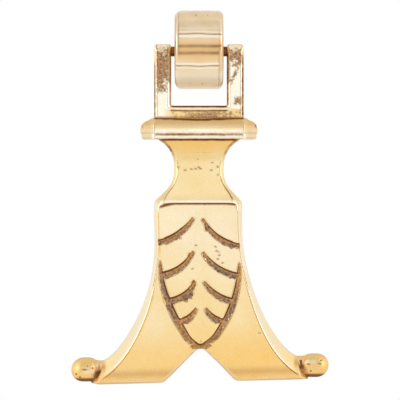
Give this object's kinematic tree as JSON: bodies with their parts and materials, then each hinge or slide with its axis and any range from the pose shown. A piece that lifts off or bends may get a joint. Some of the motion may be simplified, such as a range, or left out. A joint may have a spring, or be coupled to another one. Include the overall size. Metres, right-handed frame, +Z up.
{
  "type": "drop pull",
  "caption": "Cast brass drop pull: a waisted drop with a carved leaf, flared legs and knob feet, hinged on a pin through a round-nosed post that screws to a drawer front.",
  "frame": {"origin": "middle of the post's seat, at the mouth of its tapped fixing hole", "axes": "+Z up, +Y into the drawer front along the fixing hole, +X to the right as seen from the front"},
  "size_m": [0.044, 0.016, 0.0633],
  "materials": {
    "satin_brass": "satin turned brass, a little paler than the drop",
    "pin_brass": "drawn rod, darkened",
    "polished_cast_brass": "sand-cast, polished on the faces, dark in the cuts"
  },
  "bodies": {
    "post": {"knuckle_post": "satin_brass"},
    "drop": {"drop_casting": "polished_cast_brass", "hinge_pin": "pin_brass"}
  },
  "joints": [
    {"name": "drop_swing", "type": "hinge", "parent": "post", "child": "drop", "pos_m": [0, -0.0095, 0], "axis": [-1, 0, 0], "range_deg": [-5, 180]}
  ]
}
